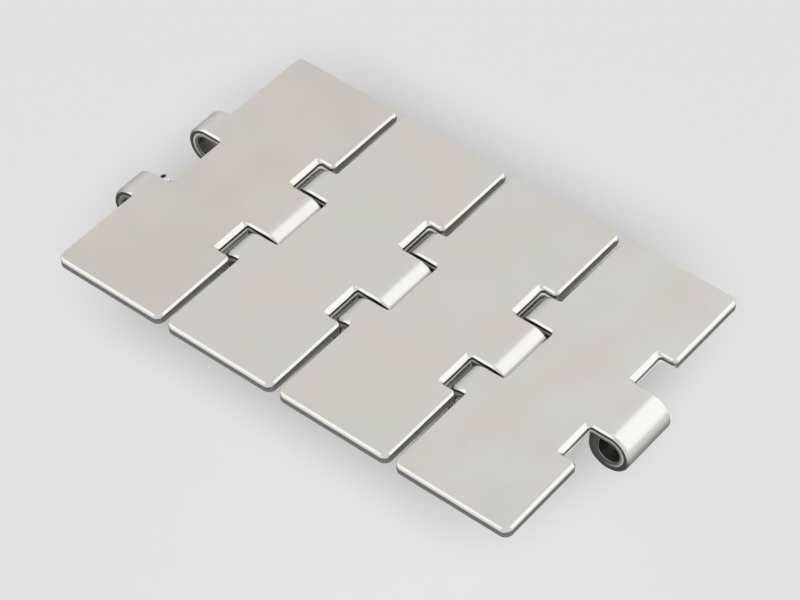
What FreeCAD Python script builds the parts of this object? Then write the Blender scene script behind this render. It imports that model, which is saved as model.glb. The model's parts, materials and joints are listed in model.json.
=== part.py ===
import FreeCAD, Part
import os
from math import hypot, sqrt, tan

# A length of single-hinge slat top conveyor chain.
#
# Each slat is one blank of steel sheet. Its front end has a tongue in the middle and its rear end has
# two tongues, one each side of the middle. Every tongue is rolled over, down and back under the slat
# to make a knuckle, and its returned end stops just under the sheet. The middle knuckle of one slat
# lies between the two outer knuckles of the next, and a hinge pin runs through all three.
#
# +X runs along the chain, from the end with two open knuckles to the end with one. +Y is across the
# chain and +Z is up, away from the knuckles. The origin is at the middle of the chain's footprint,
# at the height of the lowest point of the knuckles.

# ---- chain ----
PITCH = 38.1                  # hinge axis to hinge axis
SLAT_COUNT = 4
SLAT_WIDTH = 101.6
SHEET = 3.1                   # thickness of the steel sheet

# ---- hinge ----
PIN_DIAMETER = 6.35
PIN_RUNNING_CLEARANCE = 0.075  # all round the pin, inside the knuckles
CENTRE_KNUCKLE_WIDTH = 19.0
OUTER_KNUCKLE_WIDTH = 10.4
KNUCKLE_SIDE_GAP = 0.8        # between neighbouring knuckles, and beside them in the notches
SEAM_GAP = 0.2                # between a rolled tongue's end and the underside of the sheet

# ---- slat ends ----
FRONT_SETBACK = 1.3           # front edge of a slat, behind its front hinge axis
REAR_SETBACK = 0.8            # rear edge of a slat, ahead of its rear hinge axis
RECESS_ROLL_CLEARANCE = 0.3   # between the middle knuckle and the lower edge of the rear recess
NOTCH_ROLL_CLEARANCE = 0.75   # between the outer knuckles and the lower edge of the front notches

# ---- edges and corners of the blank ----
CORNER_RADIUS = 2.4           # the four outer corners
NOTCH_MOUTH_RADIUS = 1.5      # where a front notch opens on the front edge
NOTCH_ROOT_RADIUS = 0.8       # inner corners of the front notches
RECESS_ROOT_RADIUS = 1.2      # inner corners of the rear recess
SHOULDER_RADIUS = 0.7         # between an outer tongue and the rear edge
TOP_EDGE_ROUND = 0.8          # roll-over on the upper cut edge
UNDER_EDGE_ROUND = 0.4        # deburred lower cut edge

# ---- pin ----
PIN_END_RECESS = 0.2          # pin end, inside the outer face of an outer knuckle
PIN_CHAMFER = 0.6
GRIP_BAND_LENGTH = 5.0        # raised band that grips each outer knuckle

# ---- derived sizes ----
pin_radius = PIN_DIAMETER / 2
eye_radius = pin_radius + PIN_RUNNING_CLEARANCE
barrel_radius = eye_radius + SHEET
axis_height = barrel_radius

centre_side = CENTRE_KNUCKLE_WIDTH / 2
outer_inner_side = centre_side + KNUCKLE_SIDE_GAP
outer_outer_side = outer_inner_side + OUTER_KNUCKLE_WIDTH
notch_side = outer_outer_side + KNUCKLE_SIDE_GAP
slat_side = SLAT_WIDTH / 2

rear_edge = REAR_SETBACK
front_edge = PITCH - FRONT_SETBACK
recess_root = sqrt((barrel_radius + RECESS_ROLL_CLEARANCE) ** 2 - eye_radius ** 2)
notch_root = PITCH - sqrt((barrel_radius + NOTCH_ROLL_CLEARANCE) ** 2 - eye_radius ** 2)

ROLL_ANGLE = 270.0            # how far a tongue curls before it runs straight up to the sheet
TOUCH = 1e-6
ACROSS = FreeCAD.Vector(0, 1, 0)
UP = FreeCAD.Vector(0, 0, 1)


def rounded_wire(corners):
    """Closed wire through corners (point, radius), each corner with a radius turned into an arc."""
    runs = []
    arcs = []
    for i, (corner, radius) in enumerate(corners):
        back = (corners[i - 1][0] - corner).normalize()
        ahead = (corners[(i + 1) % len(corners)][0] - corner).normalize()
        if radius == 0:
            runs.append((corner, corner))
            arcs.append(None)
            continue
        half = back.getAngle(ahead) / 2
        reach = radius / tan(half)
        bisector = (back + ahead).normalize()
        centre = corner + bisector * hypot(radius, reach)
        start = corner + back * reach
        end = corner + ahead * reach
        runs.append((start, end))
        arcs.append(Part.Arc(start, centre - bisector * radius, end).toShape())
    edges = []
    for i, arc in enumerate(arcs):
        if arc:
            edges.append(arc)
        edges.append(Part.makeLine(runs[i][1], runs[(i + 1) % len(runs)][0]))
    return Part.Wire(edges)


def half_outline():
    """Corners of the blank on the +Y side, from the rear centre round to the front centre.

    X is measured from the slat's rear hinge axis, and the tongues end at the hinge axes."""
    return [
        (recess_root, outer_inner_side, RECESS_ROOT_RADIUS),
        (0, outer_inner_side, 0),
        (0, outer_outer_side, 0),
        (rear_edge, outer_outer_side, SHOULDER_RADIUS),
        (rear_edge, slat_side, CORNER_RADIUS),
        (front_edge, slat_side, CORNER_RADIUS),
        (front_edge, notch_side, NOTCH_MOUTH_RADIUS),
        (notch_root, notch_side, NOTCH_ROOT_RADIUS),
        (notch_root, centre_side, NOTCH_ROOT_RADIUS),
        (PITCH, centre_side, 0),
    ]


def is_tongue_end(edge):
    """True for an edge that lies across a tongue, where the flat sheet runs on into the roll."""
    box = edge.BoundBox
    return box.XLength < TOUCH and (abs(box.XMin) < TOUCH or abs(box.XMin - PITCH) < TOUCH)


def flat_blank():
    """The flat part of a slat, with its cut edges rounded above and below."""
    near = [(FreeCAD.Vector(x, y, eye_radius), r) for x, y, r in half_outline()]
    far = [(FreeCAD.Vector(x, -y, eye_radius), r) for x, y, r in reversed(half_outline())]
    blank = Part.Face(rounded_wire(near + far)).extrude(UP * SHEET)
    rims = {barrel_radius: TOP_EDGE_ROUND, eye_radius: UNDER_EDGE_ROUND}
    for height, radius in rims.items():
        rim = [
            edge
            for edge in blank.Edges
            if edge.BoundBox.ZLength < TOUCH
            and abs(edge.BoundBox.ZMin - height) < TOUCH
            and not is_tongue_end(edge)
        ]
        blank = blank.makeFillet(radius, rim)
    return blank


def tongue_section(low_side, high_side, axis_x):
    """Cross-section of a tongue at its hinge axis, with the same rounded edges as the flat sheet."""
    section = [
        (FreeCAD.Vector(axis_x, low_side, eye_radius), UNDER_EDGE_ROUND),
        (FreeCAD.Vector(axis_x, high_side, eye_radius), UNDER_EDGE_ROUND),
        (FreeCAD.Vector(axis_x, high_side, barrel_radius), TOP_EDGE_ROUND),
        (FreeCAD.Vector(axis_x, low_side, barrel_radius), TOP_EDGE_ROUND),
    ]
    return Part.Face(rounded_wire(section))


def knuckle(low_side, high_side, axis_x, curl):
    """A tongue rolled round its hinge axis. curl is 1 over the front of the slat, -1 over its rear."""
    section = tongue_section(low_side, high_side, axis_x)
    axis_point = FreeCAD.Vector(axis_x, 0, 0)
    roll = section.revolve(axis_point, ACROSS * curl, ROLL_ANGLE)
    strip_end = section.copy()
    strip_end.rotate(axis_point, ACROSS * curl, ROLL_ANGLE)
    strip = strip_end.extrude(UP * (eye_radius - SEAM_GAP))
    return roll.fuse(strip)


def slat():
    """One slat, with its rear hinge axis at X = 0 and Z = 0."""
    shape = flat_blank()
    shape = shape.fuse(
        [
            knuckle(-centre_side, centre_side, PITCH, 1),
            knuckle(outer_inner_side, outer_outer_side, 0, -1),
            knuckle(-outer_outer_side, -outer_inner_side, 0, -1),
        ]
    )
    return shape.removeSplitter().Solids[0]


def hinge_pin():
    """One pin about the Y axis, with a raised band in the middle of each outer knuckle."""
    half = outer_outer_side - PIN_END_RECESS
    band_middle = (outer_inner_side + outer_outer_side) / 2
    band_start = band_middle - GRIP_BAND_LENGTH / 2
    band_end = band_middle + GRIP_BAND_LENGTH / 2
    ramp = eye_radius - pin_radius
    one_side = [
        (pin_radius, band_start - ramp),
        (eye_radius, band_start),
        (eye_radius, band_end),
        (pin_radius, band_end + ramp),
        (pin_radius, half - PIN_CHAMFER),
        (pin_radius - PIN_CHAMFER, half),
        (0, half),
    ]
    profile = [(r, -y) for r, y in reversed(one_side)] + one_side
    points = [FreeCAD.Vector(r, y, 0) for r, y in profile]
    return Part.Face(Part.makePolygon(points + points[:1])).revolve(FreeCAD.Vector(), ACROSS, 360)


def placed(shape, hinge):
    """A copy of shape with its own hinge axis at the chain's hinge number hinge, from the rear."""
    copy = shape.copy()
    copy.translate(FreeCAD.Vector((hinge - SLAT_COUNT / 2) * PITCH, 0, axis_height))
    return copy


def main():
    os.makedirs("parts", exist_ok=True)
    one_slat = slat()
    one_pin = hinge_pin()
    nodes = {}
    for number in range(1, SLAT_COUNT + 1):
        nodes[f"slat_{number}"] = placed(one_slat, number - 1)
    for number in range(1, SLAT_COUNT):
        nodes[f"hinge_pin_{number}"] = placed(one_pin, number)
    for name, shape in nodes.items():
        shape.exportStep(f"parts/{name}.step")
        print(name, shape.ShapeType, shape.isValid(), round(shape.Volume, 1))


main()
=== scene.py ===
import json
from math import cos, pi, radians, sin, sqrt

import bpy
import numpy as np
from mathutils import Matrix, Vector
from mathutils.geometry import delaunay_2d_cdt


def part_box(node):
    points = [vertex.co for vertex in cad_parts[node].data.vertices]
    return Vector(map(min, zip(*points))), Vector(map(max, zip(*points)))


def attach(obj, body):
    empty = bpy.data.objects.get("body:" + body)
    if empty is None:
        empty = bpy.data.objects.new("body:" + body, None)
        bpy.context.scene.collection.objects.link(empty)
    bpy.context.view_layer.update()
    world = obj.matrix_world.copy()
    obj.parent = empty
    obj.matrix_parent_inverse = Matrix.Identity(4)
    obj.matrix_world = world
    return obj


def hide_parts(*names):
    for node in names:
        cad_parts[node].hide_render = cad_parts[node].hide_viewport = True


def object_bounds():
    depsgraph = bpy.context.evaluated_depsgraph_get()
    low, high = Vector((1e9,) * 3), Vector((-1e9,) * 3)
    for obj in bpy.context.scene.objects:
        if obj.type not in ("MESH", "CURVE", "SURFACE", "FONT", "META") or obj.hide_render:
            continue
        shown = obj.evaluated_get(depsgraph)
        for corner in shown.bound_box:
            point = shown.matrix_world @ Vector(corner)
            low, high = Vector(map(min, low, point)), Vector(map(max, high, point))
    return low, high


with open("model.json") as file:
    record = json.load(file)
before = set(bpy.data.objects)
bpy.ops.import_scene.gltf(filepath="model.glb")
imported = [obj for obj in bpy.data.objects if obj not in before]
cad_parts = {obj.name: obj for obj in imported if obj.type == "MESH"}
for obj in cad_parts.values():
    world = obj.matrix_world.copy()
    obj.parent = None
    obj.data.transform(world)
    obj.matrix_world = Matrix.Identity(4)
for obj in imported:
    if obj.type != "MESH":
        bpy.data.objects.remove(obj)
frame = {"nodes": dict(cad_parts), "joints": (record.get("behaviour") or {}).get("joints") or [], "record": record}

# A length of single-hinge slat top chain in satin stainless steel.
#
# Each slat is made the way the real one is: the outline of its blank is drawn flat, its cut edge is
# swept round that outline, and then the tongues are rolled round the hinge axes. The hinge pins are
# turned from a profile. Lengths are in metres, in the frame of the packed part: +X along the chain,
# +Y across it and +Z up.

bl_info = {
    "name": "Slat Top Chain",
    "version": (1, 0, 0),
    "blender": (4, 5, 0),
    "location": "3D View > Sidebar > Chain",
    "description": "Builds the slats, the hinge pins and the studio of a length of slat top chain",
    "category": "Object",
}

MM = 0.001
QUARTER = pi / 2
ROLL = 3 * QUARTER               # how far a tongue curls before it runs straight up to the sheet
WARMTH = (1.0, 0.3, 0.22, 0.08)  # tint of each slat's steel, from the rear

record = frame["record"]
mounts = {mount["name"]: mount for mount in record["mounts"]}
hinge_points = [Vector(joint["pos_m"]) for joint in frame["joints"]]
slat_nodes = sorted(name for name in frame["nodes"] if name.startswith("slat_"))
pin_nodes = sorted(name for name in frame["nodes"] if name.startswith("hinge_pin_"))
bodies = record["behaviour"]["bodies"]
body_of_node = {node: body for body, nodes in bodies.items() for node in nodes}
slat_low, slat_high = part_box(slat_nodes[0])
pin_low, pin_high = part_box(pin_nodes[0])
cad_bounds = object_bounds()


# ---------------------------------------------------------------- what a user may change


def length(name, default, description):
    """A length property in metres."""
    return bpy.props.FloatProperty(
        name=name, description=description, default=default, min=0, precision=5, unit="LENGTH"
    )


def angle(name, default, description):
    """An angle property, given in degrees and kept in radians."""
    return bpy.props.FloatProperty(
        name=name, description=description, default=radians(default), unit="ROTATION"
    )


def share(name, default, description, largest=1.0):
    """A plain number from 0 to largest."""
    return bpy.props.FloatProperty(
        name=name, description=description, default=default, min=0, max=largest
    )


def colour(name, default, description):
    """A linear colour."""
    return bpy.props.FloatVectorProperty(
        name=name, description=description, default=default, min=0, max=1, size=3, subtype="COLOR"
    )


class SlatSizes(bpy.types.PropertyGroup):
    """Sizes of one slat, and how finely its mesh is divided."""

    pitch: length("Pitch", (hinge_points[1] - hinge_points[0]).length, "Hinge axis to hinge axis")
    width: length("Width", slat_high.y - slat_low.y, "Across the chain")
    barrel_radius: length("Knuckle radius", hinge_points[0].z, "Outside of a rolled knuckle")
    eye_radius: length("Eye radius", mounts["front_eye"]["dims"]["r_mm"] * MM, "Inside a knuckle")
    centre_width: length("Centre knuckle", 19.0 * MM, "Width of the middle knuckle")
    outer_width: length("Outer knuckle", 10.4 * MM, "Width of each outer knuckle")
    side_gap: length("Side gap", 0.8 * MM, "Between neighbouring knuckles")
    seam_gap: length("Seam gap", 0.2 * MM, "Between a tongue's end and the sheet above it")
    front_setback: length("Front setback", 1.1 * MM, "Front edge, behind its hinge axis")
    rear_setback: length("Rear setback", 0.8 * MM, "Rear edge, ahead of its hinge axis")
    recess_clearance: length("Recess clearance", 0.3 * MM, "Middle knuckle to rear recess")
    notch_clearance: length("Notch clearance", 0.5 * MM, "Outer knuckles to front notches")
    corner_radius: length("Corner radius", 2.4 * MM, "The four outer corners")
    mouth_radius: length("Notch mouth radius", 1.5 * MM, "Where a notch opens on the edge")
    notch_radius: length("Notch root radius", 0.8 * MM, "Inner corners of a notch")
    recess_radius: length("Recess root radius", 1.2 * MM, "Inner corners of the rear recess")
    shoulder_radius: length("Shoulder radius", 0.7 * MM, "Outer tongue to rear edge")
    tongue_radius: length("Tongue end radius", 1.3 * MM, "Corners of a tongue's hidden end")
    front_inset: length("Front edge round", 0.8 * MM, "Width of the upper round across the front")
    side_inset: length("Side edge round", 0.7 * MM, "Width of the upper round along the sides")
    root_inset: length("Notch edge round", 1.45 * MM, "Width of the upper round across a notch")
    rear_round: length("Rear edge round", 0.35 * MM, "Upper round across the rear")
    round_depth: length("Upper round depth", 1.2 * MM, "How far the upper round reaches down")
    front_depth: length("Front round depth", 0.98 * MM, "How far down the round goes at the front")
    tongue_inset: length("Tongue edge round", 0.7 * MM, "Width of the upper round along a tongue")
    tongue_depth: length("Tongue round depth", 0.7 * MM, "How far that round reaches down")
    under_round: length("Lower edge round", 0.4 * MM, "Deburred lower cut edge")
    curled_round: length("Curled edge round", 0.3 * MM, "What rolling leaves of the upper round")
    end_bulge: length("End bulge", 0.55 * MM, "Wider upper round at the ends of a rear knuckle")
    burnish_depth: length("Burnished depth", 1.85 * MM, "Upper face to the torn part of the cut")
    tongue_burnish: length("Tongue burnished depth", 1.6 * MM, "The same along a tongue")
    fracture_step: length("Fracture step", 0.06 * MM, "How far the torn part of the cut lies back")
    edge_wander: length("Edge wander", 0.05 * MM, "Unevenness of the hand-finished edge")
    roll_step: angle("Roll step", 5.0, "Turn between two rows of vertices on a knuckle")
    flat_step: length("Flat step", 2.6 * MM, "Distance between vertices on the flat sheet")
    sliver_length: length("Sliver length", 3.2 * MM, "Curl of steel the punch left on one slat")
    sliver_radius: length("Sliver radius", 0.95 * MM, "Half the width of that curl")


class PinSizes(bpy.types.PropertyGroup):
    """Sizes of one hinge pin."""

    half_length: length("Half length", pin_high.y, "Middle to end")
    band_radius: length("Band radius", (pin_high.z - pin_low.z) / 2, "Knurled bands that grip")
    radius: length("Radius", 3.175 * MM, "Plain part of the pin")
    band_middle: length("Band middle", 15.5 * MM, "Middle of the pin to middle of a band")
    band_length: length("Band length", 5.0 * MM, "Length of a band")
    chamfer: length("Chamfer", 0.6 * MM, "At each end")
    knurl_depth: length("Knurl depth", 0.05 * MM, "Depth of the straight knurl")
    facets: bpy.props.IntProperty(name="Facets", description="Steps round the pin", default=96)


class SteelFinish(bpy.types.PropertyGroup):
    """Colours and gloss of the steel."""

    steel: colour("Steel", (0.822, 0.815, 0.785), "Satin face of the slats")
    warm_steel: colour("Warm steel", (0.768, 0.725, 0.665), "Face of a slat from a warmer coil")
    warm: colour("Warm tint", (0.83, 0.752, 0.70), "Faint warm patches on the faces")
    cool: colour("Cool tint", (0.76, 0.78, 0.70), "Faint cool patches on the faces")
    # painted dark reflection: the smooth band of the cut mirrors its surroundings, and its colour is set to their
    # dark tone; it also paints shade on the lower cut along a tongue
    burnished_painted_dark: colour("Burnished edge", (0.08, 0.079, 0.076), "Smooth, dark part of the cut edge")
    # the matt band of the cut is one fracture in two painted tones: painted shade along the sides and at the outer
    # ends of the rear knuckles, painted light round the tongues and notches
    torn: colour("Sheared edge", (0.15, 0.147, 0.142), "Matt part of the cut along the sides")
    matt_cut_painted_light: colour("Punched edge", (0.80, 0.79, 0.77), "Matt part of the cut round the tongues")
    # painted shade: the cut edge darkens as it goes round under a knuckle
    scale: colour("Edge underneath", (0.045, 0.044, 0.042), "Cut edge where a tongue curls under")
    bore: colour("Bore", (0.42, 0.415, 0.40), "Inside of the rolled knuckles")
    # painted shade of a knuckle that curls down; on the pins it is the colour of their dark patches
    painted_shade_and_dark_patch: colour("Drawn", (0.105, 0.104, 0.10), "Knuckle where the die has drawn the sheet")
    ground: colour("Ground pin", (0.55, 0.54, 0.525), "Face of the hinge pins")
    pin_end: colour("Pin end", (0.33, 0.325, 0.315), "Sawn ends of the hinge pins")
    face_roughness: share("Face roughness", 0.27, "Gloss of the satin faces")
    edge_roughness: share("Edge roughness", 0.2, "Gloss of the polished upper edges")
    cut_roughness: share("Cut roughness", 0.6, "Gloss of the cut edge")
    patch: length("Patch size", 17 * MM, "Size of the faint patches on the faces")
    grain: length("Grain", 0.11 * MM, "Width of the fine rolling lines")


class Studio(bpy.types.PropertyGroup):
    """Floor, lamps and camera."""

    floor: colour("Floor", (0.75, 0.75, 0.75), "Floor and backdrop")
    floor_drop: length("Floor drop", 0.13, "Floor below the chain, so that the chain can fold down")
    floor_size: length("Floor size", 14.0, "Side of the floor")
    ambient: share("Ambient", 0.035, "Even light from all round", 4.0)
    main: share("Main lamp", 0.96, "Light that the main lamp throws on the floor, of 1 in all", 4.0)
    main_spread: angle("Main lamp spread", 16.0, "How wide the main lamp looks from the chain")
    front: share("Front softbox", 0.42, "Light it adds to the backdrop's, where 1 is white", 10.0)
    near: share("Near softbox", 0.40, "Light it adds to the backdrop's, where 1 is white", 10.0)
    azimuth: angle("Azimuth", 38.118, "Camera, from the side towards the front end")
    elevation: angle("Elevation", 46.888, "Camera, above the horizon")
    roll: angle("Roll", 0.524, "Camera, about its own axis")
    distance: length("Distance", 0.8235, "Camera to the middle of the chain")
    lens: bpy.props.FloatProperty(name="Lens", description="Focal length in mm", default=139.17)
    aim: bpy.props.FloatVectorProperty(
        name="Aim",
        description="Point in the middle of the picture, from the middle of the chain",
        default=(1.34 * MM, -0.39 * MM, -1.06 * MM),
        size=3,
        subtype="TRANSLATION",
        unit="LENGTH",
    )


GROUPS = {
    "slat_sizes": SlatSizes,
    "pin_sizes": PinSizes,
    "steel_finish": SteelFinish,
    "studio": Studio,
}


# ---------------------------------------------------------------- the blank of a slat


def knuckle_sides(size):
    """Y of the middle knuckle's side, and of an outer knuckle's inner and outer sides."""
    centre = size.centre_width / 2
    inner = centre + size.side_gap
    return centre, inner, inner + size.outer_width


def half_outline(size):
    """Corners (x, y, radius) of the unrolled blank, +Y side, from the rear middle to the front."""
    centre, inner, outer = knuckle_sides(size)
    notch = outer + size.side_gap
    tongue = tongue_reach(size)
    recess_root = sqrt((size.barrel_radius + size.recess_clearance) ** 2 - size.eye_radius ** 2)
    notch_reach = sqrt((size.barrel_radius + size.notch_clearance) ** 2 - size.eye_radius ** 2)
    notch_root = size.pitch - notch_reach
    front = size.pitch - size.front_setback
    side = size.width / 2
    return [
        (recess_root, inner, size.recess_radius),
        (-tongue, inner, size.tongue_radius),
        (-tongue, outer, size.tongue_radius),
        (size.rear_setback, outer, size.shoulder_radius),
        (size.rear_setback, side, size.corner_radius),
        (front, side, size.corner_radius),
        (front, notch, size.mouth_radius),
        (notch_root, notch, size.notch_radius),
        (notch_root, centre, size.notch_radius),
        (size.pitch + tongue, centre, size.tongue_radius),
    ]


def tongue_reach(size):
    """Unrolled length of a tongue beyond its hinge axis, measured on its outer face."""
    return ROLL * size.barrel_radius + size.eye_radius - size.seam_gap


def stations(size):
    """X of each row of vertices across the unrolled blank, closer together on the tongues."""
    turn = np.arange(0, ROLL + size.roll_step / 2, size.roll_step) * size.barrel_radius
    strip_steps = 5
    strip = np.linspace(turn[-1], tongue_reach(size), strip_steps + 1)[1:-1]
    beyond = np.concatenate([turn, strip])
    flat = np.linspace(0, size.pitch, round(size.pitch / size.flat_step) + 1)
    return np.concatenate([-beyond[:0:-1], flat, size.pitch + beyond[1:]])


def columns(size):
    """Y of each line of vertices along the blank."""
    return np.linspace(-size.width / 2, size.width / 2, round(size.width / size.flat_step) + 1)


def between(marks, start, end, margin):
    """The marks between start and end that keep margin from both, in the order of travel."""
    low, high = min(start, end), max(start, end)
    inside = marks[(marks > low + margin) & (marks < high - margin)]
    return inside if end > start else inside[::-1]


def traced_outline(size):
    """Points round the blank, and the direction that faces out of the sheet at each of them."""
    arc_steps = 8
    near = half_outline(size)
    corners = near + [(x, -y, radius) for x, y, radius in reversed(near)]
    rows, lines = stations(size), columns(size)
    margin = size.roll_step * size.barrel_radius / 3
    places, normals = [], []
    for i, (x, y, radius) in enumerate(corners):
        corner = np.array((x, y))
        came = corner - np.array(corners[i - 1][:2])
        leaves = np.array(corners[(i + 1) % len(corners)][:2]) - corner
        came, leaves = came / np.linalg.norm(came), leaves / np.linalg.norm(leaves)
        turn = came[0] * leaves[1] - came[1] * leaves[0]
        first_out = np.array((-came[1], came[0]))
        centre = corner - came * radius + first_out * radius * turn
        for step in range(arc_steps + 1):
            swing = step / arc_steps * QUARTER
            out = first_out * cos(swing) + came * sin(swing) * -turn
            places.append(centre - out * radius * turn)
            normals.append(out)
        start = places[-1]
        far = corners[(i + 1) % len(corners)]
        end = np.array(far[:2]) - leaves * far[2]
        along = 0 if abs(leaves[0]) > 0.5 else 1
        for mark in between(rows if along == 0 else lines, start[along], end[along], margin):
            place = start.copy()
            place[along] = mark
            places.append(place)
            normals.append(normals[-1] if len(normals) > 1 else first_out)
    return np.array(places), np.array(normals)


def upper_rounds(size, places, out):
    """(inset, depth) of the upper edge's round at each place, where out faces out of the sheet.

    It is widest across the front, where the punch pulls the sheet down, and small across the rear.
    It bulges round the ends of the rear knuckles, and shrinks where a tongue is curled under."""
    x, y = places.T
    turn = (np.abs(x - size.pitch / 2) - size.pitch / 2) / size.barrel_radius
    front, rear = facing(out[:, 0]), facing(-out[:, 0])
    in_notch = x < size.pitch - size.front_setback * 2
    front_inset = np.where(in_notch, size.root_inset, size.front_inset)
    front_depth = np.where(in_notch, size.round_depth, size.front_depth)
    inset = towards(towards(size.side_inset, front_inset, front), size.rear_round, rear)
    depth = towards(towards(size.round_depth, front_depth, front), size.rear_round, rear)
    tongue = tongue_share(size, places, out)
    inset = towards(inset, size.tongue_inset, tongue)
    depth = towards(depth, size.tongue_depth, tongue)
    from_end = np.abs(np.abs(y) - knuckle_sides(size)[2])
    at_end = (x < size.rear_setback) & (from_end < size.shoulder_radius)
    swells = rise(turn, radians(-12), radians(12)) * (1 - rise(turn, radians(45), radians(95)))
    curled = rise(turn, radians(50), radians(150))
    inset = inset + size.end_bulge * swells * at_end
    return towards(inset, size.curled_round, curled), towards(depth, size.curled_round, curled)


def tongue_share(size, places, out):
    """1 at the places where the edge runs along a tongue, and 0 where it runs across the slat."""
    x, y = places.T
    margin = 0.05 * MM
    centre, _, outer = knuckle_sides(size)
    front_limit = centre + size.notch_radius + margin
    rear_limit = outer + size.shoulder_radius + margin
    limit = np.where(x > size.pitch / 2, front_limit, rear_limit)
    return (np.abs(y) < limit) * facing(np.abs(out[:, 1]))


def rise(values, start, end):
    """Smooth step from 0 at start to 1 at end."""
    part = np.clip((values - start) / (end - start), 0, 1)
    return part * part * (3 - 2 * part)


def facing(component):
    """How far a direction faces an axis, from 0 to 1, by its component along the axis."""
    return rise(component, 0.25, 0.875)


def towards(value, goal, part):
    """The value, moved by part of the way to the goal."""
    return value + (goal - value) * part


def edge_profile(size, inset, depth, burnish_depth):
    """(inset, height, sideways) down the cut edge, from the upper face to the lower one.

    Inset and height hold a value for each place. Sideways is 0 where the surface lies flat and 1
    where it has been cut."""
    support = 0.25 * MM  # keeps the faces flat beside the rounds
    bevel = 1.5          # shape of the upper round: 1 is a straight bevel, 2 a quarter circle
    upper_steps, lower_steps = 6, 4
    top, bottom = size.barrel_radius, size.eye_radius
    level = np.ones_like(inset)
    profile = [(inset + support, top * level, 0.0)]
    for step in range(upper_steps + 1):
        swing = step / upper_steps * QUARTER
        inwards, down = 1 - sin(swing) ** bevel, 1 - abs(cos(swing)) ** bevel
        profile.append((inset * inwards, top - depth * down, sin(swing)))
    burnish_end = top - burnish_depth
    profile.append((0 * level, burnish_end, 1.0))
    profile.append((size.fracture_step * level, burnish_end - 2 * size.fracture_step, 1.0))
    for step in range(lower_steps + 1):
        part = step / lower_steps
        swing = part * QUARTER
        back = max(size.under_round * (1 - cos(swing)), size.fracture_step * cos(swing))
        height = bottom + size.under_round * (1 - sin(swing))
        profile.append((back * level, height * level, 1 - part ** 8))
    profile.append(((size.under_round + support) * level, bottom * level, 0.0))
    return profile


def wander(places, seed):
    """Slow, smooth unevenness along an edge, from 0 to 1."""
    rng = np.random.default_rng(seed)
    waves = (9 * MM, 5 * MM, 2.6 * MM)
    total = np.zeros(len(places))
    for wave in waves:
        heading = rng.uniform(0, 2 * pi)
        phase = rng.uniform(0, 2 * pi)
        total += np.sin((places @ (cos(heading), sin(heading))) / wave * 2 * pi + phase)
    return 0.5 + total / len(waves) / 2


def skin(levels, around):
    """Faces between rings of vertices that follow each other."""
    faces = []
    for level in range(levels - 1):
        upper, lower = level * around, (level + 1) * around
        for i in range(around):
            ahead = (i + 1) % around
            faces.append((upper + i, upper + ahead, lower + ahead, lower + i))
    return faces


def filled(loop, rows, lines, clearance):
    """Triangles inside a closed loop, over the loop's points and the grid points inside it."""
    grid = np.array([(row, line) for row in rows for line in lines])
    ahead = np.roll(loop, -1, axis=0)
    inside = np.zeros(len(grid), bool)
    nearest = np.full(len(grid), np.inf)
    for a, b in zip(loop, ahead):
        crosses = (a[1] > grid[:, 1]) != (b[1] > grid[:, 1])
        if a[1] != b[1]:
            reach = a[0] + (grid[:, 1] - a[1]) / (b[1] - a[1]) * (b[0] - a[0])
            inside ^= crosses & (grid[:, 0] < reach)
        nearest = np.minimum(nearest, np.linalg.norm(grid - (a + b) / 2, axis=1))
    grid = grid[inside & (nearest > clearance)]
    points = np.vstack([loop, grid])
    ring = list(range(len(loop)))
    edges = [(i, (i + 1) % len(loop)) for i in ring]
    inside_only, tolerance = 1, 1e-9
    corners = [Vector(point) for point in points]
    _, _, triangles, origins, _, _ = delaunay_2d_cdt(corners, edges, [ring], inside_only, tolerance)
    return grid, [tuple(origins[v][0] for v in triangle) for triangle in triangles]


def rolled(size, blank):
    """Places of the blank's points (x, y, height above the axes) once its tongues are rolled."""
    x, y, height = blank.T
    sign = np.where(x > size.pitch, 1.0, -1.0)
    beyond = np.maximum(np.maximum(x - size.pitch, -x), 0)
    turn = np.minimum(beyond / size.barrel_radius, ROLL)
    strip = np.maximum(beyond - ROLL * size.barrel_radius, 0)
    axis = np.clip(x, 0, size.pitch)
    return np.column_stack([axis + sign * height * np.sin(turn), y, height * np.cos(turn) + strip])


def sliver(size):
    """A curl of steel that the punch left in a corner of the recess: places, blank and faces.

    It is a small tube that lies along the outer tongue and turns up at its open end. Each of its
    rings has its reach along the curl, its rise and its width in radii, and its tilt."""
    around = 20
    outside = [
        (0.0, -0.1, 0.3, 0), (0.12, 0.0, 0.75, 5), (0.35, 0.05, 0.95, 15), (0.58, 0.1, 1.0, 35),
        (0.74, 0.3, 1.0, 60), (0.8, 0.52, 1.0, 75),
    ]
    mouth = [(0.8, 0.56, 0.88, 75), (0.8, 0.5, 0.72, 75)]
    hollow = [(0.78, 0.1, 0.66, 72), (0.74, -0.2, 0.4, 70)]
    # how far down the sheet's cut edge each ring takes its colour from, of the sheet's thickness; the mouth and
    # the hollow take the cut's dark tone, painted shade inside the curl
    depths = [0.0] * len(outside) + [0.32] * len(mouth) + [0.55] * len(hollow)
    corner_x, corner_y, _ = half_outline(size)[0]
    radius = size.sliver_radius
    start = np.array(
        (corner_x - 0.8 * MM, radius * 0.4 - corner_y, size.barrel_radius - radius * 0.85)
    )
    sheet = size.barrel_radius - size.eye_radius
    places, blank = [], []
    for (reach, lift, width, tilt), depth in zip(outside + mouth + hollow, depths):
        middle = start + np.array((-reach * size.sliver_length, 0, lift * radius))
        across = np.array((sin(radians(tilt)), 0, cos(radians(tilt))))
        for i in range(around):
            turn = i / around * 2 * pi
            spread = np.array((0, cos(turn), 0)) + across * sin(turn)
            place = middle + spread * radius * width
            places.append(place)
            blank.append((*place[:2], size.barrel_radius - depth * sheet))
    faces = skin(len(depths), around)
    faces.append(tuple(range(around))[::-1])
    faces.append(tuple(len(places) - around + i for i in range(around)))
    return np.array(places), np.array(blank), faces


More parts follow.
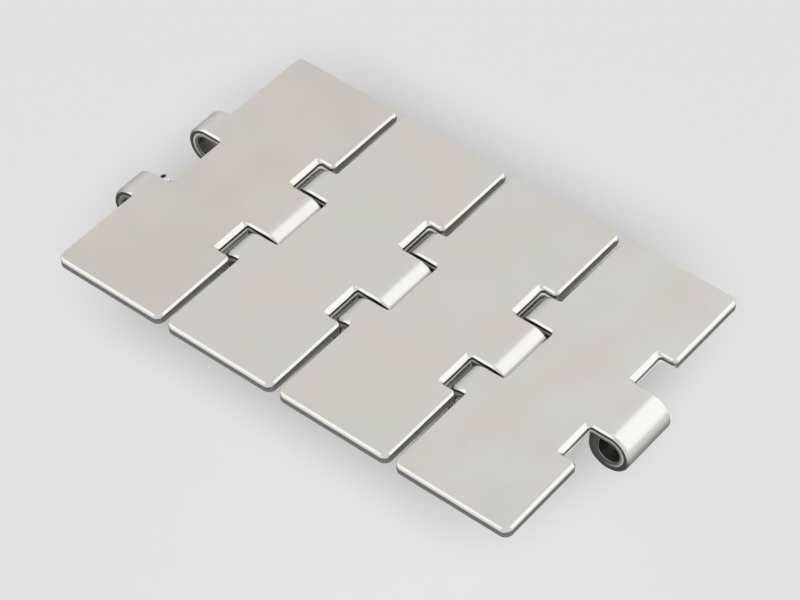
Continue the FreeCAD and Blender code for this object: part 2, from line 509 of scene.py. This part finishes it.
def slat_mesh(name, size, seed, warmth, with_sliver):
    """One slat's mesh, with its rear hinge axis on the Y axis. Warmth is the tint of its steel."""
    outline, out = traced_outline(size)
    count = len(outline)
    uneven = wander(outline, seed) * size.edge_wander
    tongue = tongue_share(size, outline, out)
    burnish_depth = towards(size.burnish_depth, size.tongue_burnish, tongue)
    profile = edge_profile(size, *upper_rounds(size, outline, out), burnish_depth)
    blank, sideways = [], []
    for inset, height, side in profile:
        ring = outline - out * (inset + uneven * side)[:, None]
        blank.append(np.column_stack([ring, height]))
        sideways.append(np.full(count, side))
    faces = skin(len(profile), count)
    last = len(profile) - 1
    placed_count = len(profile) * count
    clearance = size.roll_step * size.barrel_radius * 1.1
    for level, height in ((0, size.barrel_radius), (last, size.eye_radius)):
        loop = blank[level][:, :2]
        grid, triangles = filled(loop, stations(size), columns(size), clearance)
        for triangle in triangles:
            face = [v + level * count if v < count else v - count + placed_count for v in triangle]
            faces.append(face if level == 0 else face[::-1])
        blank.append(np.column_stack([grid, np.full(len(grid), height)]))
        sideways.append(np.zeros(len(grid)))
        placed_count += len(grid)
    blank = np.vstack(blank)
    sideways = np.concatenate(sideways)
    places = rolled(size, blank)
    if with_sliver:
        curl, curl_blank, curl_faces = sliver(size)
        faces += [tuple(v + len(places) for v in face) for face in curl_faces]
        places = np.vstack([places, curl])
        # the mouth and hollow count as cut, so they take its dark tone as painted shade
        cut, polished = 1.0, 0.3
        within = curl_blank[:, 2] < size.barrel_radius
        sideways = np.concatenate([sideways, np.where(within, cut, polished)])
        blank = np.vstack([blank, curl_blank])
    along_tongue = np.zeros(len(blank))
    along_tongue[: len(profile) * count] = np.tile(tongue, len(profile))
    mesh = smooth_mesh(name, places, faces)
    store(mesh, "blank", blank)
    store(mesh, "sideways", sideways)
    store(mesh, "along_tongue", along_tongue)
    store(mesh, "warmth", np.full(len(blank), warmth))
    return mesh


def smooth_mesh(name, places, faces):
    """A mesh that is shaded smooth."""
    mesh = bpy.data.meshes.new(name)
    mesh.from_pydata(places, [], faces)
    mesh.polygons.foreach_set("use_smooth", [True] * len(mesh.polygons))
    return mesh


def store(mesh, name, values):
    """Keeps numbers or vectors on the mesh's vertices, for its material to read."""
    values = np.asarray(values, np.float32)
    kind, field = ("FLOAT_VECTOR", "vector") if values.ndim == 2 else ("FLOAT", "value")
    mesh.attributes.new(name, kind, "POINT").data.foreach_set(field, values.ravel())


# ---------------------------------------------------------------- a hinge pin


def pin_profile(size):
    """(radius, y, knurled) along half the pin, from its middle to its end."""
    soft = 0.15 * MM  # softens the edges of the chamfer, and is the depth of the end's dimple
    ramp = size.band_radius - size.radius
    start = size.band_middle - size.band_length / 2
    end = size.band_middle + size.band_length / 2
    tip = size.radius - size.chamfer
    dimple_rim, dimple_floor = tip * 0.45, tip * 0.3
    return [
        (size.radius, 0, 0),
        (size.radius, start - ramp, 0),
        (size.band_radius, start, 1),
        (size.band_radius, end, 1),
        (size.radius, end + ramp, 0),
        (size.radius, size.half_length - size.chamfer - soft, 0),
        (size.radius - soft / 3, size.half_length - size.chamfer, 0),
        (tip + soft / 2, size.half_length - soft / 2, 0),
        (tip - soft, size.half_length, 0),
        (dimple_rim, size.half_length, 0),
        (dimple_floor, size.half_length - soft, 0),
    ]


def pin_mesh(name, size):
    """One hinge pin about the Y axis, with a straight knurl on its two bands."""
    half = pin_profile(size)
    profile = [(r, -y, knurled) for r, y, knurled in reversed(half[1:])] + half
    around = size.facets
    places, ends = [], []
    for r, y, knurled in profile:
        at_end = min(max((abs(y) - size.half_length + size.chamfer) / size.chamfer, 0), 1)
        for i in range(around):
            valley = size.knurl_depth if knurled and i % 2 else 0
            turn = i / around * 2 * pi
            places.append(((r - valley) * sin(turn), y, (r - valley) * cos(turn)))
            ends.append(at_end)
    faces = skin(len(profile), around)
    for level, step in ((0, -1), (len(profile) - 1, 1)):
        middle = len(places)
        places.append((0, profile[level][1], 0))
        ends.append(1.0)
        for i in range(around):
            pair = [level * around + i, level * around + (i + 1) % around][::step]
            faces.append((*pair, middle))
    mesh = smooth_mesh(name, places, faces)
    store(mesh, "end", ends)
    return mesh


# ---------------------------------------------------------------- shader helpers


def add(tree, kind, settings=None, inputs=None):
    """A shader node of kind, with its settings, and its inputs set to values or fed by sockets."""
    node = tree.nodes.new("ShaderNode" + kind)
    for key, value in (settings or {}).items():
        setattr(node, key, value)
    for key, value in (inputs or {}).items():
        if isinstance(value, bpy.types.NodeSocket):
            tree.links.new(value, node.inputs[key])
        else:
            node.inputs[key].default_value = value
    return node


def sums(tree, operation, *values):
    """A Math node's result."""
    return add(tree, "Math", {"operation": operation}, dict(enumerate(values))).outputs[0]


def eased(tree, value, low, high, start=0.0, end=1.0):
    """A smooth step of value, from start below low to end above high."""
    settings = {"interpolation_type": "SMOOTHSTEP"}
    inputs = {"Value": value, "From Min": low, "From Max": high, "To Min": start, "To Max": end}
    return add(tree, "MapRange", settings, inputs).outputs["Result"]


def blended(tree, part, a, b):
    """Colour a where part is 0 and colour b where it is 1."""
    return add(tree, "Mix", {"data_type": "RGBA"}, {0: part, 6: a, 7: b}).outputs[2]


def mixed_value(tree, part, a, b):
    """Value a where part is 0 and value b where it is 1."""
    return add(tree, "Mix", {"data_type": "FLOAT"}, {0: part, 2: a, 3: b}).outputs[0]


def kept(tree, name, output="Fac"):
    """What the mesh keeps under a name: a number, or with the output Vector a vector."""
    return add(tree, "Attribute", {"attribute_name": name}).outputs[output]


def noise(tree, vector, scale, detail=2.0, roughness=0.5):
    """The value of a noise texture."""
    inputs = {"Vector": vector, "Scale": scale, "Detail": detail, "Roughness": roughness}
    return add(tree, "TexNoise", None, inputs).outputs["Fac"]


def bumped(tree, strength, distance, height, normal=None):
    """The normals of a relief, on top of another relief's where normal is given."""
    inputs = {"Strength": strength, "Distance": distance, "Height": height}
    if normal:
        inputs["Normal"] = normal
    return add(tree, "Bump", None, inputs).outputs[0]


def scaled(tree, vector, scale):
    """vector times scale, axis by axis."""
    return add(tree, "VectorMath", {"operation": "MULTIPLY"}, {0: vector, 1: scale}).outputs[0]


def opaque(values):
    """A colour property as a shader colour."""
    return (*values, 1.0)


def new_group(name, inputs, outputs):
    """An empty node group with named sockets, and its input and output nodes."""
    group = bpy.data.node_groups.new(name, "ShaderNodeTree")
    for socket, kind, default in inputs:
        made = group.interface.new_socket(socket, in_out="INPUT", socket_type=kind)
        if default is not None:
            made.default_value = default
    for socket in outputs:
        group.interface.new_socket(socket, in_out="OUTPUT", socket_type="NodeSocketFloat")
    given = group.nodes.new("NodeGroupInput").outputs
    return group, given, group.nodes.new("NodeGroupOutput").inputs


def use_group(tree, group, inputs):
    """The outputs of a node group placed in a material."""
    return add(tree, "Group", {"node_tree": group}, inputs).outputs


# ---------------------------------------------------------------- effects that materials share


def mottle_group(name):
    """Faint, soft patches that satin steel shows: two tints and a change of gloss."""
    group, given, made = new_group(
        name,
        [("Vector", "NodeSocketVector", None), ("Patch", "NodeSocketFloat", 0.02)],
        ["Warm", "Cool", "Gloss"],
    )
    cool_finer, gloss_finer = 1.3, 4.0
    scale = sums(group, "DIVIDE", 1.0, given["Patch"])
    warm = noise(group, given["Vector"], scale, 1.5, 0.45)
    elsewhere = {0: given["Vector"], 1: (0.31, 0.17, 0.53)}
    shifted = add(group, "VectorMath", {"operation": "ADD"}, elsewhere).outputs[0]
    cool = noise(group, shifted, sums(group, "MULTIPLY", scale, cool_finer), 1.5, 0.45)
    fine = noise(group, shifted, sums(group, "MULTIPLY", scale, gloss_finer), 4.0, 0.6)
    group.links.new(eased(group, warm, 0.42, 0.66), made["Warm"])
    group.links.new(eased(group, cool, 0.46, 0.7), made["Cool"])
    group.links.new(eased(group, fine, 0.25, 0.75), made["Gloss"])
    return group


def grain_group(name):
    """Fine parallel lines left by rolling or grinding, that run along the second axis."""
    group, given, made = new_group(
        name,
        [("Vector", "NodeSocketVector", None), ("Width", "NodeSocketFloat", 0.0001)],
        ["Height"],
    )
    lengthwise = 0.012  # how slowly a line changes along its own length
    drawn_out = scaled(group, given["Vector"], (1.0, lengthwise, 1.0))
    lines = noise(group, drawn_out, sums(group, "DIVIDE", 1.0, given["Width"]), 2.0, 0.6)
    group.links.new(lines, made["Height"])
    return group


def shear_group(name):
    """The bands of a sheared edge, by how high in the sheet the surface lies."""
    group, given, made = new_group(
        name,
        [
            ("Blank", "NodeSocketVector", None),
            ("Level", "NodeSocketFloat", 0.5),
            ("Sideways", "NodeSocketFloat", 0.0),
        ],
        ["Cut", "Torn", "Height"],
    )
    teeth_per_metre, waves_per_metre = 3000.0, 240.0
    teeth_reach, waves_reach = 0.05, 0.14  # of the sheet's thickness
    upright = scaled(group, given["Blank"], (1.0, 1.0, 0.2))
    teeth = noise(group, upright, teeth_per_metre, 3.0, 0.6)
    waves = noise(group, upright, waves_per_metre, 2.0, 0.5)
    ragged = sums(group, "MULTIPLY", teeth, teeth_reach)
    ragged = sums(group, "MULTIPLY_ADD", waves, waves_reach, ragged)
    shift = sums(group, "SUBTRACT", (teeth_reach + waves_reach) / 2, ragged)
    level = sums(group, "ADD", given["Level"], shift)
    above = eased(group, level, 0.02, 0.10)
    below = eased(group, level, 0.35, 0.43, 1.0, 0.0)
    group.links.new(eased(group, given["Sideways"], 0.955, 1.0), made["Cut"])
    group.links.new(sums(group, "MULTIPLY", above, below), made["Torn"])
    group.links.new(sums(group, "MULTIPLY", teeth, below), made["Height"])
    return group


def fresh_tree(owner):
    """The empty node tree of a material or a world."""
    owner.use_nodes = True
    owner.node_tree.nodes.clear()
    return owner.node_tree


def steel_material(name):
    """An empty material, its node tree and its Principled shader."""
    material = bpy.data.materials.new(name)
    tree = fresh_tree(material)
    shader = add(tree, "BsdfPrincipled")
    output = add(tree, "OutputMaterial")
    tree.links.new(shader.outputs[0], output.inputs["Surface"])
    return material, tree, shader


def slat_steel(finish, size, effects):
    """Satin face, polished upper edge, sheared cut edge with painted shade and a painted dark reflection, painted
    shade where the knuckles curl down, and duller steel inside the knuckles.
    """
    material, tree, shader = steel_material("slat satin steel")
    place = add(tree, "TexCoord").outputs["Object"]
    blank, sideways = kept(tree, "blank", "Vector"), kept(tree, "sideways")
    along_tongue, warmth = kept(tree, "along_tongue"), kept(tree, "warmth")
    parts = add(tree, "SeparateXYZ", None, {0: blank}).outputs

    # level is 0 at the lower face and 1 at the upper one; turn is the angle round a knuckle
    sheet = size.barrel_radius - size.eye_radius
    level = sums(tree, "DIVIDE", sums(tree, "SUBTRACT", parts["Z"], size.eye_radius), sheet)
    from_middle = sums(tree, "ABSOLUTE", sums(tree, "SUBTRACT", parts["X"], size.pitch / 2))
    beyond = sums(tree, "SUBTRACT", from_middle, size.pitch / 2)
    turn = sums(tree, "DIVIDE", beyond, size.barrel_radius)
    across = sums(tree, "ABSOLUTE", parts["Y"])
    at_front = sums(tree, "GREATER_THAN", parts["X"], size.pitch / 2)
    at_rear = sums(tree, "SUBTRACT", 1.0, at_front)

    # painted shade that darkens a knuckle as it curls down, from near its top on the rear knuckles and weaker
    # round its underside, and where the steel lies inside a knuckle
    front_shade = eased(tree, turn, radians(60), radians(104))
    rear_shade = eased(tree, turn, radians(2), radians(78))
    painted_shade_and_dark_patch = mixed_value(tree, at_front, rear_shade, front_shade)
    hidden = eased(tree, turn, radians(118), radians(175), 1.0, 0.4)
    painted_shade_and_dark_patch = sums(tree, "MULTIPLY", painted_shade_and_dark_patch, hidden)
    inside = sums(tree, "MULTIPLY", eased(tree, level, 0.16, 0.04), eased(tree, turn, -0.9, -0.2))

    # the cut edge: its bands lie higher along a tongue, and the recess has none
    tongue_rise, matt_sides = 0.09, 0.8
    raised = sums(tree, "MULTIPLY", along_tongue, tongue_rise)
    lowered = sums(tree, "SUBTRACT", level, raised)
    shear_inputs = {"Blank": blank, "Level": lowered, "Sideways": sideways}
    shear = use_group(tree, effects["sheared edge"], shear_inputs)
    _, inner, outer = knuckle_sides(size)
    ends_from, sides_from = outer - 0.5 * MM, outer + 0.6 * MM
    rear_end = eased(tree, across, ends_from, ends_from + 0.3 * MM)
    rear_end = sums(tree, "MULTIPLY", rear_end, at_rear)
    rear_end = sums(tree, "MULTIPLY", rear_end, eased(tree, turn, -0.2, 0.0, 0.0, 0.8))
    sides = eased(tree, across, sides_from, sides_from + 1.2 * MM)
    at_sides = sums(tree, "MAXIMUM", sides, rear_end)
    curled = eased(tree, turn, radians(70), radians(215))
    recess = sums(tree, "MULTIPLY", eased(tree, turn, -0.8, -0.88), at_rear)
    recess = sums(tree, "MULTIPLY", recess, eased(tree, across, inner + 0.7 * MM, inner - 0.3 * MM))
    cut = sums(tree, "MULTIPLY", shear["Cut"], sums(tree, "SUBTRACT", 1.0, recess))
    matt = sums(tree, "MAXIMUM", shear["Torn"], sums(tree, "MULTIPLY", sides, matt_sides))
    # painted shade: the lower part of the cut along a tongue takes the burnished band's dark tone
    shaded = sums(tree, "MULTIPLY", along_tongue, eased(tree, level, 0.25, 0.42, 0.88, 0.4))
    # painted shade on the matt cut at the sides, painted light on it round the tongues
    torn = blended(tree, at_sides, opaque(finish.matt_cut_painted_light), opaque(finish.torn))
    torn = blended(tree, shaded, torn, opaque(finish.burnished_painted_dark))
    # painted shade on the cut edge as it goes round under a knuckle
    torn = blended(tree, curled, torn, opaque(finish.scale))
    # painted dark reflection on the smooth band of the cut
    edge = blended(tree, matt, opaque(finish.burnished_painted_dark), torn)

    # the faces: tinted on the flat, and neutral on the rims and the knuckles
    warm_share, cool_share = 0.7, 0.55
    rim = eased(tree, sideways, 0.02, 0.3)
    flat = eased(tree, turn, 0.2, -0.25)
    tinted = sums(tree, "MULTIPLY", flat, sums(tree, "SUBTRACT", 1.0, rim))
    mottle = use_group(tree, effects["soft mottle"], {"Vector": place, "Patch": finish.patch})
    warm = sums(tree, "MULTIPLY", sums(tree, "MULTIPLY", mottle["Warm"], warm_share), tinted)
    cool = sums(tree, "MULTIPLY", sums(tree, "MULTIPLY", mottle["Cool"], cool_share), tinted)
    coil = sums(tree, "MULTIPLY", warmth, sums(tree, "MULTIPLY_ADD", tinted, 0.85, 0.15))
    face = blended(tree, coil, opaque(finish.steel), opaque(finish.warm_steel))
    face = blended(tree, warm, face, opaque(finish.warm))
    face = blended(tree, cool, face, opaque(finish.cool))
    # painted shade on the knuckles where they curl down
    face = blended(tree, painted_shade_and_dark_patch, face, opaque(finish.painted_shade_and_dark_patch))
    face = blended(tree, inside, face, opaque(finish.bore))
    tree.links.new(blended(tree, cut, face, edge), shader.inputs["Base Color"])

    # gloss, and the torn part of the cut, which scatters light
    gloss_range, shade_duller, torn_scatter = 0.05, 0.08, 0.75
    glossiest = finish.face_roughness - gloss_range / 2
    satin = sums(tree, "MULTIPLY_ADD", mottle["Gloss"], gloss_range, glossiest)
    satin = sums(tree, "MULTIPLY_ADD", painted_shade_and_dark_patch, shade_duller, satin)
    polished = mixed_value(tree, rim, satin, finish.edge_roughness)
    rough = mixed_value(tree, cut, polished, finish.cut_roughness)
    tree.links.new(rough, shader.inputs["Roughness"])
    scattering = sums(tree, "MULTIPLY", sums(tree, "MULTIPLY", cut, matt), torn_scatter)
    tree.links.new(sums(tree, "SUBTRACT", 1.0, scattering), shader.inputs["Metallic"])

    # relief
    grain = use_group(tree, effects["fine lines"], {"Vector": blank, "Width": finish.grain})
    lines = bumped(tree, 0.06, 0.02 * MM, grain["Height"])
    torn_relief = bumped(tree, 0.5, 0.06 * MM, shear["Height"], lines)
    tree.links.new(torn_relief, shader.inputs["Normal"])
    return material


def pin_steel(finish, effects):
    """Ground round bar with sawn ends."""
    material, tree, shader = steel_material("pin ground steel")
    place = add(tree, "TexCoord").outputs["Object"]
    sawn = eased(tree, kept(tree, "end"), 0.5, 0.95)
    mottle = use_group(tree, effects["soft mottle"], {"Vector": place, "Patch": finish.patch / 4})
    face = blended(tree, mottle["Cool"], opaque(finish.ground), opaque(finish.painted_shade_and_dark_patch))
    tree.links.new(blended(tree, sawn, face, opaque(finish.pin_end)), shader.inputs["Base Color"])
    glossiest, gloss_range, sawn_duller = 0.26, 0.1, 0.16
    satin = sums(tree, "MULTIPLY_ADD", mottle["Gloss"], gloss_range, glossiest)
    rough = sums(tree, "MULTIPLY_ADD", sawn, sawn_duller, satin)
    tree.links.new(rough, shader.inputs["Roughness"])
    turned = {"Vector": place, "Rotation": (0, 0, QUARTER)}
    crosswise = add(tree, "Mapping", {"vector_type": "POINT"}, turned).outputs[0]
    grain = use_group(tree, effects["fine lines"], {"Vector": crosswise, "Width": finish.grain})
    lines = bumped(tree, 0.3, 0.02 * MM, grain["Height"])
    tree.links.new(lines, shader.inputs["Normal"])
    shader.inputs["Metallic"].default_value = 1.0
    return material


# ---------------------------------------------------------------- studio


def floor_material(studio):
    """Matt pale floor. Seen from below it is clear, so that the chain's underside can be viewed."""
    material = bpy.data.materials.new("studio floor")
    tree = fresh_tree(material)
    matt = add(tree, "BsdfDiffuse", None, {"Color": opaque(studio.floor)})
    clear = add(tree, "BsdfTransparent")
    from_below = add(tree, "NewGeometry").outputs["Backfacing"]
    mixed = add(tree, "MixShader", None, {0: from_below, 1: matt.outputs[0], 2: clear.outputs[0]})
    output = add(tree, "OutputMaterial")
    tree.links.new(mixed.outputs[0], output.inputs["Surface"])
    return material


def make_floor(studio):
    """The floor, a little below the reach of the folded chain."""
    half = studio.floor_size / 2
    height = cad_bounds[0].z - studio.floor_drop
    corners = [(-half, -half), (half, -half), (half, half), (-half, half)]
    mesh = bpy.data.meshes.new("studio_floor")
    mesh.from_pydata([(x, y, height) for x, y in corners], [], [(0, 1, 2, 3)])
    mesh.materials.append(floor_material(studio))
    floor = bpy.data.objects.new("studio_floor", mesh)
    bpy.context.scene.collection.objects.link(floor)


def make_world(studio):
    """A grey backdrop for the camera and for reflections, and an even light for all else."""
    world = bpy.data.worlds.new("studio")
    tree = fresh_tree(world)
    rays = add(tree, "LightPath").outputs
    seen = sums(tree, "MAXIMUM", rays["Is Camera Ray"], rays["Is Glossy Ray"])
    seen = sums(tree, "MAXIMUM", seen, rays["Is Transmission Ray"])
    backdrop = add(tree, "Background", None, {"Color": opaque(studio.floor), "Strength": 1.0})
    even = add(tree, "Background", None, {"Color": (1, 1, 1, 1), "Strength": studio.ambient})
    mixed = add(tree, "MixShader", None, {0: seen, 1: even.outputs[0], 2: backdrop.outputs[0]})
    output = add(tree, "OutputWorld")
    tree.links.new(mixed.outputs[0], output.inputs["Surface"])
    bpy.context.scene.world = world


def make_sun(studio):
    """The lamp over the camera's shoulder, which lights the floor and throws the chain's shadow."""
    lamp = bpy.data.lights.new("main_lamp", "SUN")
    lamp.angle = studio.main_spread
    lamp.energy = studio.main * pi / sin(studio.elevation)
    sun = bpy.data.objects.new("main_lamp", lamp)
    sun.rotation_mode = "QUATERNION"
    sun.rotation_quaternion = viewing_direction(studio).to_track_quat("-Z", "Y")
    sun.visible_glossy = False
    bpy.context.scene.collection.objects.link(sun)


def make_softbox(name, middle, direction, upper_edge, size, brightness):
    """A softbox that steel reflects, one metre from the chain in a direction.

    Its long side points to upper_edge. Brightness 1 adds as much light as white paper sends out."""
    ahead = -Vector(direction).normalized()
    along = Vector(upper_edge).normalized()
    along = (along - along.dot(ahead) * ahead).normalized()
    turned = Matrix((along.cross(-ahead), along, -ahead)).transposed().to_4x4()
    lamp = bpy.data.lights.new(name, "AREA")
    lamp.shape = "RECTANGLE"
    lamp.size, lamp.size_y = size
    lamp.energy = brightness * pi * size[0] * size[1]
    softbox = bpy.data.objects.new(name, lamp)
    softbox.matrix_world = Matrix.Translation(middle - ahead) @ turned
    softbox.visible_camera = False
    softbox.visible_diffuse = False
    bpy.context.scene.collection.objects.link(softbox)


def viewing_direction(studio):
    """The way the camera looks."""
    level = cos(studio.elevation)
    x, y = -sin(studio.azimuth) * level, cos(studio.azimuth) * level
    return Vector((x, y, -sin(studio.elevation)))


def make_lamps(studio, middle):
    """The main lamp and two softboxes: one beyond the front end, one at the near side."""
    make_sun(studio)
    softboxes = {  # direction, upper edge, width and height, brightness
        "front_softbox": ((0.53, 0.62, 0.58), (-0.04, 0.54, 1.04), (0.82, 1.66), studio.front),
        "near_softbox": ((-0.49, -0.75, 0.47), (0, 0, 1), (0.9, 1.15), studio.near),
    }
    for name, (direction, upper_edge, size, brightness) in softboxes.items():
        make_softbox(name, middle, direction, upper_edge, size, brightness)


def make_camera(studio, middle):
    """The camera, which looks down on the chain from its front corner."""
    ahead = viewing_direction(studio)
    aim = middle + Vector(studio.aim)
    lens = bpy.data.cameras.new("camera")
    lens.lens = studio.lens
    camera = bpy.data.objects.new("camera", lens)
    place = Matrix.Translation(aim - ahead * studio.distance)
    turned = ahead.to_track_quat("-Z", "Y").to_matrix().to_4x4()
    camera.matrix_world = place @ turned @ Matrix.Rotation(studio.roll, 4, "Z")
    bpy.context.scene.collection.objects.link(camera)
    bpy.context.scene.camera = camera


# ---------------------------------------------------------------- operators


def shared_effects():
    """The node groups by name, made by the first operator that needs them."""
    makers = {"soft mottle": mottle_group, "fine lines": grain_group, "sheared edge": shear_group}
    return {name: bpy.data.node_groups.get(name) or make(name) for name, make in makers.items()}


def shown(name, mesh, material, place, node):
    """An object for the mesh, in place of a CAD node and riding on that node's body."""
    mesh.transform(Matrix.Translation(place))
    mesh.materials.append(material)
    piece = bpy.data.objects.new(name, mesh)
    bpy.context.scene.collection.objects.link(piece)
    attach(piece, body_of_node[node])
    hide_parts(node)


class CHAIN_OT_slats(bpy.types.Operator):
    """Build the slats"""

    bl_idname = "chain.slats"
    bl_label = "Slats"

    def execute(self, context):
        size, finish = context.scene.slat_sizes, context.scene.steel_finish
        material = slat_steel(finish, size, shared_effects())
        first_axis = hinge_points[0] - Vector((size.pitch, 0, 0))
        for number, node in enumerate(slat_nodes):
            name = node + "_sheet"
            warmth = WARMTH[number % len(WARMTH)]
            mesh = slat_mesh(name, size, number, warmth, with_sliver=number == 0)
            place = first_axis + Vector((number * size.pitch, 0, 0))
            shown(name, mesh, material, place, node)
        return {"FINISHED"}


class CHAIN_OT_pins(bpy.types.Operator):
    """Build the hinge pins"""

    bl_idname = "chain.pins"
    bl_label = "Hinge pins"

    def execute(self, context):
        size, finish = context.scene.pin_sizes, context.scene.steel_finish
        material = pin_steel(finish, shared_effects())
        for node, place in zip(pin_nodes, hinge_points):
            name = node + "_bar"
            shown(name, pin_mesh(name, size), material, place, node)
        return {"FINISHED"}


class CHAIN_OT_studio(bpy.types.Operator):
    """Set up the floor, the lamps and the camera"""

    bl_idname = "chain.studio"
    bl_label = "Studio"

    def execute(self, context):
        studio = context.scene.studio
        middle = (cad_bounds[0] + cad_bounds[1]) / 2
        make_floor(studio)
        make_world(studio)
        make_lamps(studio, middle)
        make_camera(studio, middle)
        context.scene.view_settings.view_transform = "Standard"
        return {"FINISHED"}


OPERATORS = [CHAIN_OT_slats, CHAIN_OT_pins, CHAIN_OT_studio]


class CHAIN_PT_sidebar(bpy.types.Panel):
    """Lists the chain's pieces and their sizes"""

    bl_label = "Slat top chain"
    bl_idname = "CHAIN_PT_sidebar"
    bl_space_type = "VIEW_3D"
    bl_region_type = "UI"
    bl_category = "Chain"

    def draw(self, context):
        for operator in OPERATORS:
            self.layout.operator(operator.bl_idname)
        for name, group in GROUPS.items():
            box = self.layout.box()
            box.label(text=group.__doc__)
            for field in group.__annotations__:
                box.prop(getattr(context.scene, name), field)


def register():
    """Adds the sizes, the operators and the panel to Blender."""
    for group in GROUPS.values():
        bpy.utils.register_class(group)
    for name, group in GROUPS.items():
        setattr(bpy.types.Scene, name, bpy.props.PointerProperty(type=group))
    for item in OPERATORS + [CHAIN_PT_sidebar]:
        bpy.utils.register_class(item)


def unregister():
    """Takes them away again."""
    for item in [CHAIN_PT_sidebar] + OPERATORS[::-1]:
        bpy.utils.unregister_class(item)
    for name in GROUPS:
        delattr(bpy.types.Scene, name)
    for group in list(GROUPS.values())[::-1]:
        bpy.utils.unregister_class(group)


def main():
    """Builds everything."""
    register()
    bpy.ops.chain.slats()
    bpy.ops.chain.pins()
    bpy.ops.chain.studio()
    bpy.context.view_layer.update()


if __name__ == "__main__":
    main()
